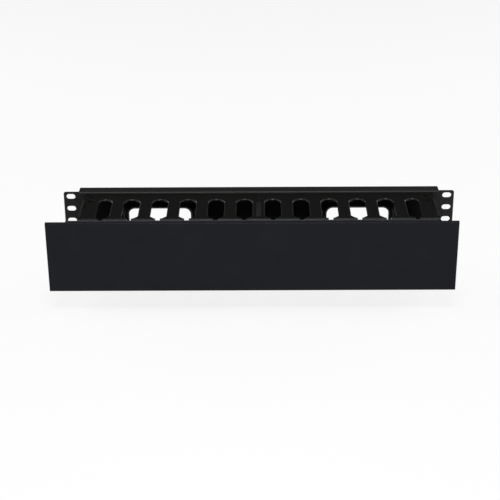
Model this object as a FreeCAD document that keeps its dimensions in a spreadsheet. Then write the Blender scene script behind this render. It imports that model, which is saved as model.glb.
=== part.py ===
import FreeCAD, Part
import math
import os

import Sketcher

# Two-unit horizontal cable manager for a 19-inch rack, fingers and cover on the front only.
#
# Frame: millimetres, +X to the right seen from the front, +Y towards the rack, +Z up.
# The origin is the centre of the rear mounting face of the panel, so the rack slots lie
# evenly about it and the ducts and cover stand out towards -Y.
#
# A folded steel panel carries two moulded finger ducts, held by pan-head screws that go
# through their back walls into tapped holes. The cover has a snap channel along its top and
# its bottom, which grip the round beads at the ends of the T-shaped fingers. The bottom
# channel is the hinge.

SIZES = {
    # steel panel
    "panel_width": 482.6,
    "panel_height": 88.1,
    "panel_sheet": 1.6,
    "ear_corner": 2.5,
    "flange_width": 445.0,
    "flange_depth": 13.6,
    "bend_inside": 1.4,
    # rack slots, on the universal hole pitch
    "slot_spacing": 465.1,
    "slot_pitch": 15.875,
    "slot_unit_half": 22.225,
    "slot_length": 11.0,
    "slot_height": 6.8,
    # finger ducts
    "duct_half_width": 215.2,
    "seam_half": 0.05,
    "duct_back_half": 41.2,
    "duct_wall": 2.8,
    "duct_corner": 3.0,
    "tip_web": 1.8,
    "bead_radius": 2.5,
    "bead_out": 73.5,
    "bead_up": 35.6,
    "gap_pitch": 34.29,
    "gap_half": 9.65,
    "gap_root": 17.6,
    "end_gap_half": 8.0,
    "end_gap_centre": 187.0,
    "shoulder_end": 69.4,
    "neck_half": 2.85,
    "gap_past_bead": 10.0,
    "finger_edge": 1.1,
    "rib_width": 2.7,
    "rib_height": 1.2,
    "rib_sunk": 1.0,
    "edge_rib_start": 19.0,
    "seam_rib_start": 29.0,
    "rib_end": 68.0,
    "slit_inner": 210.5,
    "slit_width": 1.9,
    "slit_start": 34.0,
    "slit_end": 70.0,
    "tie_slot_place": 205.8,
    "tie_slot_width": 6.2,
    "tie_slot_length": 3.8,
    "tie_slot_back": 10.0,
    "tie_slot_front": 22.0,
    # pass-through opening and its collar
    "opening_centre": 122.6,
    "opening_half_width": 38.5,
    "opening_half_height": 24.2,
    "opening_corner": 8.0,
    "collar_width": 7.0,
    "collar_rise": 6.0,
    "collar_edge": 2.6,
    "sleeve_wall": 1.8,
    "sleeve_length": 1.4,
    "panel_clearance": 0.3,
    # screws
    "screw_inner": 68.58,
    "screw_outer": 204.0,
    "screw_up": 26.0,
    "screw_shank": 1.45,
    "screw_head": 2.8,
    "head_height": 1.7,
    "screw_short": 0.2,
    "tapped_bore": 1.5,
    "duct_bore": 1.7,
    # cover
    "cover_front": 101.6,
    "cover_sheet": 2.4,
    "cover_lip": 4.5,
    "cover_lip_sheet": 2.2,
    "cover_round": 1.8,
    "lip_edge": 0.6,
    "cover_slid": 8.0,
    "channel_half_width": 221.0,
    "channel_outer": 4.3,
    "hinge_bore": 2.56,
    "snap_bore": 2.8,
    "leg_sheet": 1.8,
    "hinge_lip": 237.0,
    "hinge_tail": 29.0,
    "snap_lip": 155.0,
    "snap_tail": 268.0,
}


class Size:
    """A length or angle as a number, with the spreadsheet expression that it comes from."""

    def __init__(self, value, text):
        self.value = value
        self.text = text

    @staticmethod
    def of(other):
        return other if isinstance(other, Size) else Size(float(other), repr(float(other)))

    def join(self, other, sign, value):
        return Size(value, "(%s %s %s)" % (self.text, sign, Size.of(other).text))

    def __add__(self, other):
        return self.join(other, "+", self.value + Size.of(other).value)

    def __sub__(self, other):
        return self.join(other, "-", self.value - Size.of(other).value)

    def __mul__(self, other):
        return self.join(other, "*", self.value * Size.of(other).value)

    def __truediv__(self, other):
        return self.join(other, "/", self.value / Size.of(other).value)

    def __neg__(self):
        return self * -1

    def cos(self):
        return Size(math.cos(math.radians(self.value)), "cos(%s * 1 deg)" % self.text)

    def sin(self):
        return Size(math.sin(math.radians(self.value)), "sin(%s * 1 deg)" % self.text)

    def root(self):
        return Size(math.sqrt(self.value), "sqrt(%s)" % self.text)


class Sheet:
    """The driving dimensions, each cell read back as a Size by its alias."""

    def __init__(self, doc, name):
        self.cells = doc.addObject("Spreadsheet::Sheet", name)
        for row, (alias, value) in enumerate(SIZES.items(), start=1):
            self.cells.set("A%d" % row, alias.replace("_", " "))
            self.cells.set("B%d" % row, repr(value))
            self.cells.setAlias("B%d" % row, alias)

    def __getattr__(self, alias):
        return Size(SIZES[alias], "%s.%s" % (self.cells.Name, alias))


class Arc:
    """A round stretch of an outline: centre, radius, and whether it runs counter-clockwise."""

    def __init__(self, centre, radius, counter_clockwise):
        self.centre = [Size.of(c) for c in centre]
        self.radius = Size.of(radius)
        self.counter_clockwise = counter_clockwise


def origin_plane(body, role):
    return next(item for item in body.Origin.OriginFeatures if item.Role == role)


def add_sketch(body, role, name, offset=None):
    """A sketch on one of the body's own origin planes, moved along that plane's normal."""
    sketch = body.newObject("Sketcher::SketchObject", name)
    sketch.AttachmentSupport = [(origin_plane(body, role), "")]
    sketch.MapMode = "FlatFace"
    if offset is not None:
        sketch.AttachmentOffset = FreeCAD.Placement(
            FreeCAD.Vector(0, 0, offset.value), FreeCAD.Rotation())
        sketch.setExpression("AttachmentOffset.Base.z", offset.text)
    return sketch


def constrain(sketch, kind, places, size):
    index = sketch.addConstraint(Sketcher.Constraint(kind, *places, size.value))
    sketch.setExpression("Constraints[%d]" % index, size.text)


def pin_point(sketch, geometry, point, place, axes="XY"):
    """Hold a point at its distances from the sketch's origin."""
    for axis, size in zip("XY", place):
        if axis in axes:
            constrain(sketch, "Distance" + axis, (-1, 1, geometry, point), Size.of(size))


def add_outline(sketch, points, arcs=None):
    """A closed outline through the points. arcs[i] rounds the stretch from point i to i+1.

    Where a stretch is round, its ends are found from its centre and radius, so only the
    coordinate that fixes each end best is given.
    """
    arcs = arcs or {}
    count = len(points)
    points = [[Size.of(c) for c in point] for point in points]
    spots = [FreeCAD.Vector(u.value, v.value, 0) for u, v in points]
    made = []
    for i in range(count):
        start, end = spots[i], spots[(i + 1) % count]
        if i not in arcs:
            made.append(sketch.addGeometry(Part.LineSegment(start, end), False))
            continue
        arc = arcs[i]
        centre = FreeCAD.Vector(arc.centre[0].value, arc.centre[1].value, 0)
        first, last = (start, end) if arc.counter_clockwise else (end, start)
        angles = [math.atan2(p.y - centre.y, p.x - centre.x) for p in (first, last)]
        circle = Part.Circle(centre, FreeCAD.Vector(0, 0, 1), arc.radius.value)
        made.append(sketch.addGeometry(Part.ArcOfCircle(circle, *angles), False))

    def end_of(i, far):
        forward = i not in arcs or arcs[i].counter_clockwise
        return 2 if forward == far else 1

    for i in range(count):
        before = (i - 1) % count
        sketch.addConstraint(Sketcher.Constraint(
            "Coincident", made[before], end_of(before, True), made[i], end_of(i, False)))
    for i in range(count):
        before = (i - 1) % count
        if i not in arcs and before not in arcs:
            pin_point(sketch, made[i], end_of(i, False), points[i])
    for i, arc in arcs.items():
        pin_point(sketch, made[i], 3, arc.centre)
        constrain(sketch, "Radius", (made[i],), arc.radius)
        for far in (False, True):
            k = (i + far) % count
            across = abs(points[k][1].value - arc.centre[1].value)
            along = abs(points[k][0].value - arc.centre[0].value)
            pin_point(sketch, made[i], end_of(i, far), points[k], "X" if across > along else "Y")


def add_circle(sketch, centre, radius):
    spot = FreeCAD.Vector(*[Size.of(c).value for c in centre], 0)
    circle = Part.Circle(spot, FreeCAD.Vector(0, 0, 1), radius.value)
    geometry = sketch.addGeometry(circle, False)
    pin_point(sketch, geometry, 3, centre)
    constrain(sketch, "Radius", (geometry,), radius)


def add_rounded_box(sketch, centre, half_width, half_height, corner):
    """A rectangle with four round corners."""
    u, v = [Size.of(c) for c in centre]
    points, arcs = [], {}
    for k, (su, sv) in enumerate([(1, -1), (1, 1), (-1, 1), (-1, -1)]):
        flat_u = (u + half_width * su, v + (half_height - corner) * sv)
        flat_v = (u + (half_width - corner) * su, v + half_height * sv)
        points += [flat_v, flat_u] if su * sv < 0 else [flat_u, flat_v]
        inner = (u + (half_width - corner) * su, v + (half_height - corner) * sv)
        arcs[2 * k] = Arc(inner, corner, True)
    add_outline(sketch, points, arcs)


def add_box(sketch, corner, opposite):
    """A plain rectangle between two opposite corners."""
    (u, v), (far_u, far_v) = corner, opposite
    add_outline(sketch, [(u, v), (far_u, v), (far_u, far_v), (u, far_v)])


def add_slot(sketch, centre, length, height):
    """A slot along the sketch's first axis, with round ends."""
    u, v = [Size.of(c) for c in centre]
    radius = height / 2
    reach = length / 2 - radius
    points = [(u - reach, v - radius), (u + reach, v - radius),
              (u + reach, v + radius), (u - reach, v + radius)]
    arcs = {1: Arc((u + reach, v), radius, True), 3: Arc((u - reach, v), radius, True)}
    add_outline(sketch, points, arcs)


def add_pad(body, sketch, name, length, symmetric=False, backwards=False):
    pad = body.newObject("PartDesign::Pad", name)
    pad.Profile = sketch
    pad.Length = length.value
    pad.setExpression("Length", length.text)
    if symmetric:
        pad.SideType = "Symmetric"
    pad.Reversed = backwards
    return pad


def add_pocket(body, sketch, name, length=None, backwards=False):
    """A cut, through everything on both sides of the sketch if no length is given."""
    pocket = body.newObject("PartDesign::Pocket", name)
    pocket.Profile = sketch
    if length is None:
        pocket.Type = "ThroughAll"
        pocket.SideType = "Symmetric"
    else:
        pocket.Length = length.value
        pocket.setExpression("Length", length.text)
        pocket.Reversed = backwards
    return pocket


def add_row(body, feature, sketch, axis, name, spacing, count, backwards=False):
    """The feature repeated along one axis of its sketch."""
    row = body.newObject("PartDesign::LinearPattern", name)
    row.Originals = [feature]
    row.Direction = (sketch, [axis])
    row.Reversed = backwards
    length = spacing * (count - 1)
    row.Length = length.value
    row.setExpression("Length", length.text)
    row.Occurrences = count
    body.Tip = row
    return row


def soften(body, kind, name, size, picked):
    """Rounds (Fillet) or bevels (Chamfer) the last feature's edges for which picked(edge) is true."""
    base = body.Tip
    doc.recompute()
    names = ["Edge%d" % (i + 1) for i, edge in enumerate(base.Shape.Edges) if picked(edge)]
    feature = body.newObject("PartDesign::" + kind, name)
    feature.Base = (base, names)
    extent = {"Fillet": "Radius", "Chamfer": "Size"}[kind]
    setattr(feature, extent, size.value)
    feature.setExpression(extent, size.text)
    return feature


def near(a, b, tolerance=0.01):
    return abs(a - b) < tolerance


def lies_at(edge, y):
    """Whether the whole edge lies in the plane at this y."""
    along = (edge.FirstParameter, (edge.FirstParameter + edge.LastParameter) / 2, edge.LastParameter)
    return all(near(edge.valueAt(k).y, y.value) for k in along)


def is_long(edge, s):
    """Whether an edge runs along a duct or the cover, rather than round a small feature."""
    return edge.Length > s.gap_pitch.value * 3


# ---------------------------------------------------------------- steel panel


def make_panel(s):
    body = doc.addObject("PartDesign::Body", "rear_panel")
    half = s.panel_height / 2
    bend_outside = s.bend_inside + s.panel_sheet

    # The folded channel: web, two bends and the flanges that point back into the rack.
    outer, inner = -s.panel_sheet, Size.of(0)
    points, arcs = [], {}
    for side in (1, -1):
        top = half * side
        under = (half - s.panel_sheet) * side
        bend = (outer + bend_outside, top - bend_outside * side)
        stretch = [(outer, bend[1]), (bend[0], top), (s.flange_depth, top),
                   (s.flange_depth, under), (bend[0], under), (inner, bend[1])]
        outside, inside = Arc(bend, bend_outside, False), Arc(bend, s.bend_inside, True)
        first = len(points)
        points += stretch if side > 0 else stretch[::-1]
        arcs[first] = outside if side > 0 else inside
        arcs[first + 4] = inside if side > 0 else outside
    profile = add_sketch(body, "YZ_Plane", "channel_profile")
    add_outline(profile, points, arcs)
    add_pad(body, profile, "channel", s.flange_width, symmetric=True)

    # Both ears, flat with the web.
    for side, name in ((-1, "left"), (1, "right")):
        ear = add_sketch(body, "XZ_Plane", "ear_outline_" + name)
        inside = s.flange_width / 2 * side
        outside = s.panel_width / 2 * side
        inner_corner = outside - s.ear_corner * side
        shoulder = half - s.ear_corner
        points = [(inside, -half), (inner_corner, -half), (outside, -shoulder),
                  (outside, shoulder), (inner_corner, half), (inside, half)]
        arcs = {1: Arc((inner_corner, -shoulder), s.ear_corner, side > 0),
                3: Arc((inner_corner, shoulder), s.ear_corner, side > 0)}
        add_outline(ear, points, arcs)
        add_pad(body, ear, "ear_" + name, s.panel_sheet)

    # Six slots in each ear: three along each rack unit.
    slots = add_sketch(body, "XZ_Plane", "slot_outline")
    for side in (-1, 1):
        for unit in (-1, 1):
            centre = (s.slot_spacing / 2 * side, s.slot_unit_half * unit - s.slot_pitch)
            add_slot(slots, centre, s.slot_length, s.slot_height)
    first = add_pocket(body, slots, "slots_lowest")
    add_row(body, first, slots, "V_Axis", "slots", s.slot_pitch, 3)

    # Pass-through openings, cut wide of the ducts' sleeves.
    openings = add_sketch(body, "XZ_Plane", "opening_outline")
    grown = s.sleeve_wall + s.panel_clearance
    for side in (-1, 1):
        add_rounded_box(openings, (s.opening_centre * side, 0), s.opening_half_width + grown,
                        s.opening_half_height + grown, s.opening_corner + grown)
    add_pocket(body, openings, "openings")

    # Tapped holes for the duct screws.
    holes = add_sketch(body, "XZ_Plane", "screw_hole_centres")
    for x, z, _ in screw_places(s):
        add_circle(holes, (x, z), s.tapped_bore)
    add_pocket(body, holes, "screw_holes")
    return body


def screw_places(s):
    """The centre (x, z) of each screw and the side of its duct, the left duct's first."""
    for side in (-1, 1):
        for x in (s.screw_outer, s.screw_inner):
            for end in (1, -1):
                yield x * side, s.screw_up * end, side


# ---------------------------------------------------------------- finger ducts


def web_out(s):
    """How far out the thin end of an arm meets its bead."""
    return s.bead_out - (s.bead_radius * s.bead_radius - s.tip_web * s.tip_web / 4).root()


def arm_level(s, out):
    """Height of an arm's outer face, out from the rack face: it falls evenly to its bead."""
    fall = (s.duct_back_half - s.bead_up - s.tip_web / 2) / (web_out(s) - s.panel_sheet)
    return s.duct_back_half - fall * (out - s.panel_sheet)


def duct_profile(s):
    """The C-shaped section, (y, z), with a round bead at the end of each arm."""
    back = -s.panel_sheet
    inside = back - s.duct_wall
    web_y = -web_out(s)
    points, arcs = [], {}
    for end in (1, -1):
        over = (s.bead_up + s.tip_web / 2) * end
        under = (s.bead_up - s.tip_web / 2) * end
        arm = [(back, s.duct_back_half * end), (web_y, over), (web_y, under),
               (inside, (s.duct_back_half - s.duct_wall) * end)]
        first = len(points)
        points += arm if end > 0 else arm[::-1]
        arcs[first + 1] = Arc((-s.bead_out, s.bead_up * end), s.bead_radius, True)
    return points, arcs


def gap_outline(s, centre, neck, half):
    """A gap between two fingers: a round root, straight sides, 45-degree shoulders that
    leave the T-shaped ends, and a narrow neck between neighbouring ends."""
    root = -(s.gap_root + half)
    past = -(s.bead_out + s.gap_past_bead)
    low, high = centre - half, centre + half
    neck_low, neck_high = neck - s.neck_half, neck + s.neck_half
    points = [(high, root), (low, root), (low, neck_low - low - s.shoulder_end),
              (neck_low, -s.shoulder_end), (neck_low, past), (neck_high, past),
              (neck_high, -s.shoulder_end), (high, high - neck_high - s.shoulder_end)]
    return points, {0: Arc((centre, root), half, True)}


def make_duct(s, name, side):
    """One finger duct. side is 1 on the right and -1 on the left."""
    body = doc.addObject("PartDesign::Body", name)
    wall_front = -s.panel_sheet - s.duct_wall

    section = add_sketch(body, "YZ_Plane", name + "_section", s.seam_half * side)
    add_outline(section, *duct_profile(s))
    add_pad(body, section, name + "_channel", s.duct_half_width - s.seam_half, backwards=side < 0)

    # Round the inside corners, where the arms leave the back wall.
    soften(body, "Fillet", name + "_corners", s.duct_corner, lambda edge: lies_at(
        edge, wall_front) and is_long(edge, s))

    # Gaps between the fingers, the one at the duct's end a little narrower.
    gap = add_sketch(body, "XY_Plane", name + "_gap")
    middle = s.gap_pitch / 2 * side
    add_outline(gap, *gap_outline(s, middle, middle, s.gap_half))
    first = add_pocket(body, gap, name + "_first_gap")
    add_row(body, first, gap, "H_Axis", name + "_gaps", s.gap_pitch, 5, backwards=side < 0)
    end_gap = add_sketch(body, "XY_Plane", name + "_end_gap_outline")
    last_neck = s.gap_pitch * 5.5 * side
    add_outline(end_gap, *gap_outline(s, s.end_gap_centre * side, last_neck, s.end_gap_half))
    add_pocket(body, end_gap, name + "_end_gap")

    # Bevel the outer edges of the fingers and of the round roots.
    soften(body, "Chamfer", name + "_finger_edges", s.finger_edge,
           lambda edge: is_finger_edge(edge, s))

    # A raised rib along the duct's outer end and along the seam with the other duct.
    for place, start, where in ((s.duct_half_width - s.rib_width, s.edge_rib_start, "edge"),
                                (s.seam_half, s.seam_rib_start, "seam")):
        for end, level in ((1, "top"), (-1, "bottom")):
            title = "%s_%s_%s_rib" % (name, level, where)
            rib = add_sketch(body, "YZ_Plane", title + "_outline", place * side)
            corners = []
            for out, rise in ((start, -s.rib_sunk), (start, s.rib_height),
                              (s.rib_end, s.rib_height), (s.rib_end, -s.rib_sunk)):
                corners.append((-out, (arm_level(s, out) + rise) * end))
            add_outline(rib, corners)
            add_pad(body, rib, title, s.rib_width, backwards=side < 0)

    # A slit inside the outer rib, and two slots for cable ties near the back.
    cuts = add_sketch(body, "XY_Plane", name + "_slit_and_tie_slots_outline")
    add_box(cuts, (s.slit_inner * side, -s.slit_start),
            ((s.slit_inner + s.slit_width) * side, -s.slit_end))
    tie_half = (s.tie_slot_width / 2 * side, s.tie_slot_length / 2)
    for out in (s.tie_slot_back, s.tie_slot_front):
        centre = (s.tie_slot_place * side, -out)
        add_box(cuts, [c - h for c, h in zip(centre, tie_half)],
                [c + h for c, h in zip(centre, tie_half)])
    add_pocket(body, cuts, name + "_slit_and_tie_slots")

    # The collar: a rounded rim in front, and a sleeve through the panel behind.
    centre = (s.opening_centre * side, 0)
    box = (s.opening_half_width, s.opening_half_height, s.opening_corner)
    rim = add_sketch(body, "XZ_Plane", name + "_rim_outline", s.panel_sheet)
    add_rounded_box(rim, centre, *[size + s.collar_width for size in box])
    add_pad(body, rim, name + "_rim", s.duct_wall + s.collar_rise)
    sleeve = add_sketch(body, "XZ_Plane", name + "_sleeve_outline", s.panel_sheet)
    add_rounded_box(sleeve, centre, *[size + s.sleeve_wall for size in box])
    add_pad(body, sleeve, name + "_sleeve", s.sleeve_length, backwards=True)
    opening = add_sketch(body, "XZ_Plane", name + "_opening_outline")
    add_rounded_box(opening, centre, *box)
    add_pocket(body, opening, name + "_opening")
    soften(body, "Chamfer", name + "_rim_edges", s.collar_edge, lambda edge: lies_at(
        edge, wall_front - s.collar_rise))

    # Clearance holes for the screws.
    holes = add_sketch(body, "XZ_Plane", name + "_screw_hole_centres")
    for x, z, owner in screw_places(s):
        if owner == side:
            add_circle(holes, (x, z), s.duct_bore)
    add_pocket(body, holes, name + "_screw_holes")
    return body


def is_finger_edge(edge, s):
    """Edges between an outer face of an arm and the wall of a gap, as far as the shoulders."""
    mid = edge.valueAt((edge.FirstParameter + edge.LastParameter) / 2)
    on_face = near(abs(mid.z), arm_level(s, Size.of(-mid.y)).value)
    between = -s.shoulder_end.value < mid.y < -s.gap_root.value + 0.5
    ends = [v.Y for v in edge.Vertexes]
    beside_gap = min(ends) > -s.shoulder_end.value - 0.01 and max(ends) < -s.gap_root.value + 0.5
    return on_face and between and beside_gap


# ---------------------------------------------------------------- cover


def cover_outline(s):
    """The plate with its two lips, (y, z)."""
    front = -s.cover_front
    inside = front + s.cover_sheet
    lip = front + s.cover_lip
    half = s.panel_height / 2
    points, arcs = [], {}
    for end in (1, -1):
        corner = (front + s.cover_round, (half - s.cover_round) * end)
        stretch = [(front, corner[1]), (corner[0], half * end), (lip, half * end),
                   (lip, (half - s.cover_lip_sheet) * end),
                   (inside, (half - s.cover_lip_sheet) * end)]
        first = len(points)
        points += stretch if end > 0 else stretch[::-1]
        arcs[first if end > 0 else first + 3] = Arc(corner, s.cover_round, False)
    return points, arcs


def channel_outline(s, end, bore, lip, tail):
    """A leg from the plate and the round channel on its end, (y, z).

    lip and tail are where the channel stops above and below its leg, as angles from
    straight back, over the top. The leg comes in at 180 degrees. end is 1 on top.
    """
    centre = (-s.bead_out, s.bead_up * end)
    half_leg = s.leg_sheet / 2
    reach = (s.channel_outer * s.channel_outer - half_leg * half_leg).root()
    plate = s.cover_sheet / 2 - s.cover_front

    def at(angle, radius):
        return (centre[0] + angle.cos() * radius, centre[1] + angle.sin() * radius)

    over = (centre[0] - reach, centre[1] + half_leg)
    under = (centre[0] - reach, centre[1] - half_leg)
    outer = s.channel_outer
    points = [(plate, over[1]), over, at(lip, outer), at(lip, bore), at(tail, bore),
              at(tail, outer), under, (plate, under[1])]
    arcs = {1: Arc(centre, outer, False), 3: Arc(centre, bore, True), 5: Arc(centre, outer, False)}
    return points, arcs


def make_cover(s):
    body = doc.addObject("PartDesign::Body", "front_cover")
    middle = -s.cover_slid
    section = add_sketch(body, "YZ_Plane", "cover_section", middle - s.panel_width / 2)
    add_outline(section, *cover_outline(s))
    add_pad(body, section, "plate", s.panel_width)
    soften(body, "Fillet", "lip_edges", s.lip_edge, lambda edge: lies_at(
        edge, s.cover_lip - s.cover_front) and is_long(edge, s))
    ends = {1: (s.snap_bore, s.snap_lip, s.snap_tail), -1: (s.hinge_bore, s.hinge_tail, s.hinge_lip)}
    for end, word in ((1, "top"), (-1, "bottom")):
        channel = add_sketch(body, "YZ_Plane", word + "_channel_section",
                             middle - s.channel_half_width)
        add_outline(channel, *channel_outline(s, end, *ends[end]))
        add_pad(body, channel, word + "_channel", s.channel_half_width * 2)
    return body


# ---------------------------------------------------------------- screws


def make_screw(s, number, x, z):
    """A pan-head screw, turned about its own axis, through a duct's wall into the panel."""
    body = doc.addObject("PartDesign::Body", "duct_screw_%d" % number)
    profile = add_sketch(body, "XY_Plane", "screw_profile_%d" % number)
    under = -s.panel_sheet - s.duct_wall
    top = under - s.head_height
    tip = -s.screw_short
    add_outline(profile, [(0, top), (s.screw_head, top), (s.screw_head, under),
                          (s.screw_shank, under), (s.screw_shank, tip), (0, tip)])
    turned = body.newObject("PartDesign::Revolution", "screw_%d" % number)
    turned.Profile = profile
    turned.ReferenceAxis = (profile, ["V_Axis"])
    turned.Angle = 360.0
    body.Placement.Base = FreeCAD.Vector(x.value, 0, z.value)
    body.setExpression("Placement.Base.x", x.text)
    body.setExpression("Placement.Base.z", z.text)
    return body


# ---------------------------------------------------------------- document


def check_document(bodies):
    doc.recompute()
    for item in doc.Objects:
        if {"Invalid", "Error"} & set(item.State):
            raise RuntimeError("%s failed: %s" % (item.Name, item.State))
    for body in bodies:
        if body.Shape.isNull() or not body.Shape.isValid() or len(body.Shape.Solids) != 1:
            raise RuntimeError("%s has no single valid solid" % body.Label)


doc = FreeCAD.newDocument("cable_manager")
sizes = Sheet(doc, "Sizes")
doc.recompute()
parts = [make_panel(sizes), make_duct(sizes, "duct_left", -1), make_duct(sizes, "duct_right", 1),
         make_cover(sizes)]
for number, (x, z, _) in enumerate(screw_places(sizes), start=1):
    parts.append(make_screw(sizes, number, x, z))
check_document(parts)

os.makedirs("parts", exist_ok=True)
for part in parts:
    part.Shape.exportStep("parts/%s.step" % part.Label)
    print("%-14s %9.0f mm3" % (part.Label, part.Shape.Volume))
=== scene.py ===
import math

import bmesh
import bpy
from mathutils import Matrix, Vector


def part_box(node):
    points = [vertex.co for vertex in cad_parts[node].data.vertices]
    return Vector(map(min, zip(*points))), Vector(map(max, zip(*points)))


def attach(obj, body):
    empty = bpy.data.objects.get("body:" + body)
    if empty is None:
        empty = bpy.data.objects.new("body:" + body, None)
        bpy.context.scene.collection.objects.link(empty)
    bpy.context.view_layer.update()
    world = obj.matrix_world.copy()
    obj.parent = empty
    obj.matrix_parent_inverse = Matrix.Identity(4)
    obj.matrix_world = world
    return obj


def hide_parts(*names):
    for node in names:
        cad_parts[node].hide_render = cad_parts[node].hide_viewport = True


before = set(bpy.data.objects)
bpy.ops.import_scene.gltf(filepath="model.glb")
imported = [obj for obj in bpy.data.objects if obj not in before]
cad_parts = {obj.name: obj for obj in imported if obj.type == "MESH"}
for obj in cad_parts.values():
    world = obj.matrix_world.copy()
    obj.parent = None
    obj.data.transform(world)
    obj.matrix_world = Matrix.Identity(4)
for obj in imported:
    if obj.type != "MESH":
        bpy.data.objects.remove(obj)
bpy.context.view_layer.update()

# Two-unit horizontal cable manager: black steel panel, black finger ducts and hinged cover.
# Metres: +X right seen from the front, +Y into the rack, +Z up.

MM = 0.001

# View: from in front and above, with the long lens of a catalogue picture.
VIEW_ELEVATION = math.radians(24.07)
VIEW_DISTANCE = 1.462
VIEW_YAW = math.radians(0.445)
VIEW_ROLL = math.radians(-0.41)
FOCAL_PIXELS = 1246
IMAGE_PIXELS = 500
SENSOR_WIDTH = 36.0
AIM_HEIGHT = 9.4 * MM

# Colours, linear, and the part of its white that the floor shows whatever light falls on it.
PANEL_BLACK = (0.0088, 0.0085, 0.0080, 1.0)
DUCT_BLACK = (0.0031, 0.0030, 0.0027, 1.0)
COVER_BLACK = (0.0098, 0.0108, 0.0138, 1.0)
SCREW_BLACK = (0.045, 0.045, 0.047, 1.0)
# Painted highlight colour for the cover's rounded edges.
EDGE_HIGHLIGHT_GREY = (0.110, 0.110, 0.112, 1.0)
# Painted highlight colour for the ribs that stand above the ducts' arms.
RIB_HIGHLIGHT_GREY = (0.016, 0.016, 0.016, 1.0)
FLOOR_WHITE = (0.90, 0.90, 0.90, 1.0)
FLOOR_GLOW = 0.85
ROOM_GREY = (0.08, 0.08, 0.08, 1.0)
FAR_WHITE = (0.86, 0.86, 0.86, 1.0)

# Finishes: size and height of the grain, roughness, specular level, radius of the edges.
PANEL_FINISH = dict(grain=0.45 * MM, depth=0.03 * MM, rough=0.45, specular=0.3, edge=0.35 * MM)
DUCT_FINISH = dict(grain=0.3 * MM, depth=0.01 * MM, rough=0.36, specular=0.2, edge=0.5 * MM)
COVER_FINISH = dict(grain=0.35 * MM, depth=0.02 * MM, rough=0.4, specular=0.1, edge=0.9 * MM)
SCREW_FINISH = dict(grain=0.2 * MM, depth=0.005 * MM, rough=0.35, specular=0.5, edge=0.1 * MM)

# Slow changes of tone and gloss over all of them: size and amount.
TONE_PATCH = 35 * MM
TONE_CHANGE = 0.12
GLOSS_PATCH = 12 * MM
GLOSS_CHANGE = 0.05
EDGE_SAMPLES = 6

# The cover's edges get a painted highlight: they turn lighter between these cosines of the edge's
# turn.
EDGE_HIGHLIGHT_STARTS = 0.995
EDGE_HIGHLIGHT_FULL = 0.9

# The floor lies low enough for the cover to swing open above it.
FLOOR_HEIGHT = -74.0 * MM
FLOOR_SIZE = 40.0
FLOOR_MIDDLE = 2.0
FLOOR_PATCH = 0.4
FLOOR_CHANGE = 0.005

# Height of the ducts' arms at the rack face, and how much they fall for each metre out.
ARM_LEVEL = 41.3 * MM
ARM_FALL = 0.0676

# Painted highlight on the ribs: heights above the arm between which they turn lighter, size of the
# patches, and how much of the lighter tone the faintest of them have.
RIB_HIGHLIGHT_STARTS = 0.3 * MM
RIB_HIGHLIGHT_FULL = 0.9 * MM
RIB_HIGHLIGHT_PATCH = 4 * MM
RIB_HIGHLIGHT_LEAST = 0.6

# Soft boxes: place, aim, width, height, watts. SIDE and BACK stand on the right and, mirrored,
# on the left.
CENTRE = (0, 0, 0)
SIDE_BOX = ((1.35, 0.0, 1.5), CENTRE, 1.1, 1.3, 11)
BACK_BOX = ((1.7, 1.2, 0.7), CENTRE, 1.0, 0.8, 9)
FRONT_BOX = ((0.0, -1.3, 2.2), CENTRE, 1.0, 0.5, 31)
LOW_FRONT_BOX = ((0.0, -0.9, 0.25), (0, -0.1, 0), 0.35, 0.2, 0.8)

# Screw heads: where the underside lies along Y, the dome as a share of the height, the radii of its
# flat top and of where its curve starts as shares of the head's, and (height above the underside,
# radius) of the rim below the dome, also as shares.
SCREW_UNDER = -4.4 * MM
DOME_RISE = 0.35
DOME_STEPS = 8
DOME_TOP = 0.3
DOME_SHOULDER = 0.45
HEAD_RIM = ((0.25, 1.0), (0.05, 0.98), (0.0, 0.93))

# Screw shanks: rings for each turn of the thread, and the share of the length, 1 / THREAD_ENDS,
# over which it grows at each end.
SCREW_SHANK = 1.45 * MM
SCREW_SIDES = 32
THREAD_PITCH = 0.5 * MM
THREAD_DEPTH = 0.22 * MM
THREAD_STEPS = 8
THREAD_ENDS = 12

# Cross recess: reach and half width of its arms at the top and, as shares of those, at its foot.
# The cutter starts a little above the head.
RECESS_REACH = 1.55 * MM
RECESS_HALF = 0.3 * MM
RECESS_DEPTH = 1.1 * MM
RECESS_ABOVE = 0.3 * MM
RECESS_REACH_FOOT = 0.35
RECESS_HALF_FOOT = 0.74


# ---------------------------------------------------------------- materials


def node_tree(name):
    material = bpy.data.materials.new(name)
    material.use_nodes = True
    tree = material.node_tree
    return material, tree, tree.nodes["Principled BSDF"]


def add_node(tree, kind, **values):
    """A node whose properties and inputs of these names have these values."""
    node = tree.nodes.new(kind)
    for key, value in values.items():
        if hasattr(node, key):
            setattr(node, key, value)
        else:
            node.inputs[key].default_value = value
    return node


def noise(tree, size, detail=3.0, roughness=0.5):
    """Noise with features of about this size, in metres, in the object's own space."""
    place = tree.nodes.new("ShaderNodeTexCoord")
    texture = add_node(tree, "ShaderNodeTexNoise", Scale=1.0 / size, Detail=detail,
                       Roughness=roughness)
    tree.links.new(place.outputs["Object"], texture.inputs["Vector"])
    return texture.outputs["Fac"]


def remap(tree, value, low, high, from_low=0.3, from_high=0.7):
    """The value spread between low and high."""
    node = tree.nodes.new("ShaderNodeMapRange")
    node.inputs["From Min"].default_value = from_low
    node.inputs["From Max"].default_value = from_high
    node.inputs["To Min"].default_value = low
    node.inputs["To Max"].default_value = high
    tree.links.new(value, node.inputs["Value"])
    return node.outputs["Result"]


def tinted(tree, value, colour, change):
    """The colour, made darker and lighter by up to this share of it."""
    scale = remap(tree, value, 1 - change, 1 + change)
    mix = add_node(tree, "ShaderNodeVectorMath", operation="SCALE")
    mix.inputs[0].default_value = colour[:3]
    tree.links.new(scale, mix.inputs["Scale"])
    return mix.outputs["Vector"]


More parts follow.
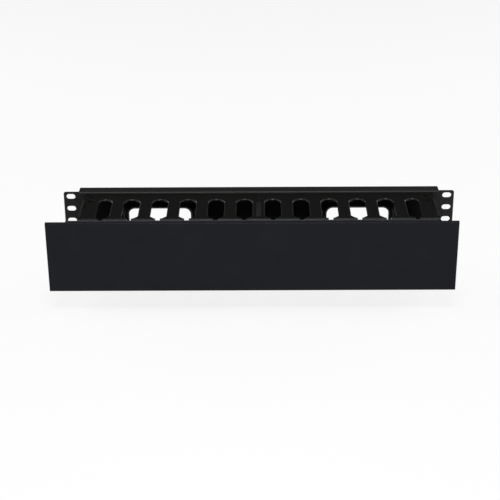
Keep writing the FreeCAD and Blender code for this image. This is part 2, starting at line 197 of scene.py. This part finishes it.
def black_finish(name, colour, grain, depth, rough, specular, edge):
    """A fine-grained black surface with softly rounded edges.

    grain and depth are the size and height of its texture, edge the radius of its edges.
    """
    material, tree, shader = node_tree(name)
    slow = noise(tree, TONE_PATCH)
    fine = noise(tree, grain, roughness=0.6)
    shade = tinted(tree, slow, colour, TONE_CHANGE)
    tree.links.new(shade, shader.inputs["Base Color"])
    gloss = noise(tree, GLOSS_PATCH, detail=4.0)
    blotch = remap(tree, gloss, rough - GLOSS_CHANGE, rough + GLOSS_CHANGE)
    tree.links.new(blotch, shader.inputs["Roughness"])
    shader.inputs["Specular IOR Level"].default_value = specular
    rounded = tree.nodes.new("ShaderNodeBevel")
    rounded.samples = EDGE_SAMPLES
    rounded.inputs["Radius"].default_value = edge
    bump = tree.nodes.new("ShaderNodeBump")
    bump.inputs["Strength"].default_value = 1.0
    bump.inputs["Distance"].default_value = depth
    tree.links.new(fine, bump.inputs["Height"])
    tree.links.new(rounded.outputs["Normal"], bump.inputs["Normal"])
    tree.links.new(bump.outputs["Normal"], shader.inputs["Normal"])
    return material


def paint_edge_highlight(material):
    """Paints a highlight on the rounded edges, which turn a little lighter where the bevel normal
    leaves the face's.
    """
    tree = material.node_tree
    shader = tree.nodes["Principled BSDF"]
    base = shader.inputs["Base Color"]
    plain = base.links[0].from_socket
    rounded = tree.nodes["Bevel"]
    flat = tree.nodes.new("ShaderNodeNewGeometry")
    same = add_node(tree, "ShaderNodeVectorMath", operation="DOT_PRODUCT")
    tree.links.new(rounded.outputs["Normal"], same.inputs[0])
    tree.links.new(flat.outputs["Normal"], same.inputs[1])
    share = remap(tree, same.outputs["Value"], 0.0, 1.0, EDGE_HIGHLIGHT_STARTS, EDGE_HIGHLIGHT_FULL)
    mix = add_node(tree, "ShaderNodeMix", data_type="RGBA")
    tree.links.new(share, mix.inputs["Factor"])
    tree.links.new(plain, mix.inputs["A"])
    mix.inputs["B"].default_value = EDGE_HIGHLIGHT_GREY
    tree.links.new(mix.outputs["Result"], base)


def paint_rib_highlight(material):
    """Paints a highlight on what stands above the faces of the ducts' arms, lighter in random
    patches.
    """
    tree = material.node_tree
    base = tree.nodes["Principled BSDF"].inputs["Base Color"]
    plain = base.links[0].from_socket
    place = tree.nodes.new("ShaderNodeTexCoord")
    parts = tree.nodes.new("ShaderNodeSeparateXYZ")
    tree.links.new(place.outputs["Object"], parts.inputs["Vector"])
    height = add_node(tree, "ShaderNodeMath", operation="ABSOLUTE")
    tree.links.new(parts.outputs["Z"], height.inputs[0])
    level = add_node(tree, "ShaderNodeMath", operation="MULTIPLY_ADD")
    level.inputs[1].default_value = ARM_FALL
    level.inputs[2].default_value = ARM_LEVEL
    tree.links.new(parts.outputs["Y"], level.inputs[0])
    above = add_node(tree, "ShaderNodeMath", operation="SUBTRACT")
    tree.links.new(height.outputs["Value"], above.inputs[0])
    tree.links.new(level.outputs["Value"], above.inputs[1])
    raised = remap(tree, above.outputs["Value"], 0.0, 1.0, RIB_HIGHLIGHT_STARTS, RIB_HIGHLIGHT_FULL)
    patchy = remap(tree, noise(tree, RIB_HIGHLIGHT_PATCH), RIB_HIGHLIGHT_LEAST, 1.0)
    share = add_node(tree, "ShaderNodeMath", operation="MULTIPLY")
    tree.links.new(raised, share.inputs[0])
    tree.links.new(patchy, share.inputs[1])
    mix = add_node(tree, "ShaderNodeMix", data_type="RGBA")
    tree.links.new(share.outputs["Value"], mix.inputs["Factor"])
    tree.links.new(plain, mix.inputs["A"])
    mix.inputs["B"].default_value = RIB_HIGHLIGHT_GREY
    tree.links.new(mix.outputs["Result"], base)


def floor_finish():
    """A pale floor that takes a soft shadow, and shows almost white to the camera and in gloss."""
    material, tree, shader = node_tree("pale_floor")
    shade = tinted(tree, noise(tree, FLOOR_PATCH, detail=2.0), FLOOR_WHITE, FLOOR_CHANGE)
    tree.links.new(shade, shader.inputs["Base Color"])
    shader.inputs["Roughness"].default_value = 0.9
    shader.inputs["Specular IOR Level"].default_value = 0.0
    path = tree.nodes.new("ShaderNodeLightPath")
    seen = add_node(tree, "ShaderNodeMath", operation="MAXIMUM")
    tree.links.new(path.outputs["Is Camera Ray"], seen.inputs[0])
    tree.links.new(path.outputs["Is Glossy Ray"], seen.inputs[1])
    share = add_node(tree, "ShaderNodeMath", operation="MULTIPLY")
    share.inputs[1].default_value = FLOOR_GLOW
    tree.links.new(seen.outputs["Value"], share.inputs[0])
    white = tree.nodes.new("ShaderNodeEmission")
    mix = tree.nodes.new("ShaderNodeMixShader")
    tree.links.new(share.outputs["Value"], mix.inputs["Fac"])
    tree.links.new(shader.outputs["BSDF"], mix.inputs[1])
    tree.links.new(white.outputs["Emission"], mix.inputs[2])
    tree.links.new(mix.outputs["Shader"], tree.nodes["Material Output"].inputs["Surface"])
    return material


def paint(node, material):
    """Gives a CAD node one material in place of its plain one."""
    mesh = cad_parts[node].data
    mesh.materials.clear()
    mesh.materials.append(material)


# ---------------------------------------------------------------- room


def add_floor():
    bpy.ops.mesh.primitive_plane_add(size=FLOOR_SIZE, location=(0, FLOOR_MIDDLE, FLOOR_HEIGHT))
    floor = bpy.context.object
    floor.name = "floor"
    floor.data.materials.append(floor_finish())


def add_area(name, box, side=1):
    """A soft box; side -1 puts it in the mirrored place."""
    place, aim, width, height, power = box
    place = (side * place[0], place[1], place[2])
    lamp = bpy.data.lights.new(name, "AREA")
    lamp.shape = "RECTANGLE"
    lamp.size, lamp.size_y = width, height
    lamp.energy = power
    holder = bpy.data.objects.new(name, lamp)
    bpy.context.collection.objects.link(holder)
    holder.location = place
    holder.rotation_euler = (Vector(aim) - Vector(place)).to_track_quat("-Z", "Y").to_euler()


def add_room():
    """A dim room, which to the camera is as pale as the far end of the floor."""
    world = bpy.data.worlds.new("room")
    bpy.context.scene.world = world
    world.use_nodes = True
    tree = world.node_tree
    path = tree.nodes.new("ShaderNodeLightPath")
    mix = add_node(tree, "ShaderNodeMix", data_type="RGBA")
    mix.inputs["A"].default_value = ROOM_GREY
    mix.inputs["B"].default_value = FAR_WHITE
    tree.links.new(path.outputs["Is Camera Ray"], mix.inputs["Factor"])
    tree.links.new(mix.outputs["Result"], tree.nodes["Background"].inputs["Color"])


def add_light():
    """Soft boxes on both sides, above the front, low in front and behind, in a dim room."""
    add_room()
    for side, word in ((-1, "left"), (1, "right")):
        add_area("soft_box_" + word, SIDE_BOX, side)
        add_area("back_box_" + word, BACK_BOX, side)
    add_area("front_box", FRONT_BOX)
    add_area("low_front_box", LOW_FRONT_BOX)


def add_camera():
    """The camera looks at the cover's face, a little above its middle."""
    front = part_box("front_cover")[0][1]
    aim = Vector((0, front, AIM_HEIGHT))
    back = Vector((0, -math.cos(VIEW_ELEVATION), math.sin(VIEW_ELEVATION)))
    camera = bpy.data.cameras.new("camera")
    camera.sensor_width = SENSOR_WIDTH
    camera.lens = SENSOR_WIDTH * FOCAL_PIXELS / IMAGE_PIXELS
    holder = bpy.data.objects.new("camera", camera)
    bpy.context.collection.objects.link(holder)
    pitch = Matrix.Rotation(math.pi / 2 - VIEW_ELEVATION, 4, "X")
    yaw = Matrix.Rotation(VIEW_YAW, 4, "Z")
    roll = Matrix.Rotation(VIEW_ROLL, 4, "Z")
    holder.matrix_world = Matrix.Translation(aim + back * VIEW_DISTANCE) @ yaw @ pitch @ roll
    bpy.context.scene.camera = holder


# ---------------------------------------------------------------- the object


def turned_rows(bm, rows, sides):
    """Rings about the Y axis. Each row gives the place along Y and a radius or radius(turn)."""
    rings = []
    for along, radius in rows:
        ring = []
        for k in range(sides):
            turn = k / sides
            r = radius(turn) if callable(radius) else radius
            ring.append(bm.verts.new((r * math.cos(math.tau * turn), along,
                                      r * math.sin(math.tau * turn))))
        rings.append(ring)
    for near, far in zip(rings[:-1], rings[1:]):
        for k in range(sides):
            n = (k + 1) % sides
            bm.faces.new((near[k], near[n], far[n], far[k]))
    bm.faces.new(rings[0][::-1])
    bm.faces.new(rings[-1])


def finished_mesh(bm, name):
    bmesh.ops.recalc_face_normals(bm, faces=bm.faces)
    mesh = bpy.data.meshes.new(name)
    bm.to_mesh(mesh)
    bm.free()
    return mesh


def screw_body(low, high, under, head, shank):
    """A domed pan head and a threaded shank, from low (top of the head) to high (tip)."""
    rise = under - low
    rows = [(low, head * DOME_TOP)]
    for step in range(1, DOME_STEPS + 1):
        angle = math.pi / 2 * (1 - step / DOME_STEPS)
        rows.append((under - rise * (1 - DOME_RISE) - rise * DOME_RISE * math.sin(angle),
                     head * (DOME_SHOULDER + (1 - DOME_SHOULDER) * math.cos(angle))))
    rows += [(under - up * rise, head * share) for up, share in HEAD_RIM]
    core = shank - THREAD_DEPTH
    rows.append((under, core))
    length = high - under
    count = round(length / THREAD_PITCH * THREAD_STEPS)
    for step in range(1, count + 1):
        along = step / count
        grown = min(1.0, along * THREAD_ENDS, (1 - along) * THREAD_ENDS)

        def radius(turn, along=along, grown=grown):
            wave = abs((along * length / THREAD_PITCH - turn) % 1.0 * 2 - 1)
            return core + THREAD_DEPTH * wave * grown

        rows.append((under + along * length, radius))
    bm = bmesh.new()
    turned_rows(bm, rows, SCREW_SIDES)
    return finished_mesh(bm, "pan_head_screw")


def recess_cutter(low):
    """A tapered cross, to be cut from the head."""
    bm = bmesh.new()
    for turned in (False, True):
        corners = {}
        for end, along, reach_scale, half_scale in (
                (-1, low - RECESS_ABOVE, 1.0, 1.0),
                (1, low + RECESS_DEPTH, RECESS_REACH_FOOT, RECESS_HALF_FOOT)):
            for a in (-1, 1):
                for b in (-1, 1):
                    reach = RECESS_REACH * reach_scale * a
                    half = RECESS_HALF * half_scale * b
                    x, z = (half, reach) if turned else (reach, half)
                    corners[end, a, b] = bm.verts.new((x, along, z))
        for face in (((-1, -1, -1), (-1, -1, 1), (-1, 1, 1), (-1, 1, -1)),
                     ((1, -1, -1), (1, 1, -1), (1, 1, 1), (1, -1, 1)),
                     ((-1, -1, -1), (-1, 1, -1), (1, 1, -1), (1, -1, -1)),
                     ((-1, -1, 1), (1, -1, 1), (1, 1, 1), (-1, 1, 1)),
                     ((-1, -1, -1), (1, -1, -1), (1, -1, 1), (-1, -1, 1)),
                     ((-1, 1, -1), (-1, 1, 1), (1, 1, 1), (1, 1, -1))):
            bm.faces.new([corners[key] for key in face])
    return finished_mesh(bm, "recess_cutter")


def add_screws(material):
    """Pan-head screws with a cross recess and a thread, in place of the plain ones."""
    names = sorted(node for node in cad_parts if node.startswith("duct_screw"))
    low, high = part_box(names[0])
    head = (high[0] - low[0]) / 2
    blank = bpy.data.objects.new("screw_blank", screw_body(
        low[1], high[1], SCREW_UNDER, head, SCREW_SHANK))
    cutter = bpy.data.objects.new("screw_recess", recess_cutter(low[1]))
    for part in (blank, cutter):
        bpy.context.collection.objects.link(part)
    cut = blank.modifiers.new("recess", "BOOLEAN")
    cut.object = cutter
    cut.use_self = True
    bpy.context.view_layer.update()
    shaped = bpy.data.meshes.new_from_object(blank.evaluated_get(
        bpy.context.evaluated_depsgraph_get()))
    shaped.materials.clear()
    shaped.materials.append(material)
    for part in (blank, cutter):
        bpy.data.objects.remove(part)
    for node in names:
        low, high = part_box(node)
        screw = bpy.data.objects.new(node + "_detailed", shaped)
        bpy.context.collection.objects.link(screw)
        screw.location = ((low[0] + high[0]) / 2, 0, (low[2] + high[2]) / 2)
        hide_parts(node)
        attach(screw, "base")


def finish_nodes():
    panel = black_finish("powder_coated_steel", PANEL_BLACK, **PANEL_FINISH)
    duct = black_finish("moulded_duct_plastic", DUCT_BLACK, **DUCT_FINISH)
    cover = black_finish("grained_cover_plastic", COVER_BLACK, **COVER_FINISH)
    screw = black_finish("black_zinc", SCREW_BLACK, **SCREW_FINISH)
    # Painted highlight on the cover's rounded edges.
    paint_edge_highlight(cover)
    add_screws(screw)
    paint("rear_panel", panel)
    # Painted highlight on the ribs above the ducts' arms.
    paint_rib_highlight(duct)
    paint("duct_left", duct)
    paint("duct_right", duct)
    paint("front_cover", cover)


finish_nodes()
add_floor()
add_light()
add_camera()
bpy.context.scene.view_settings.view_transform = "Standard"
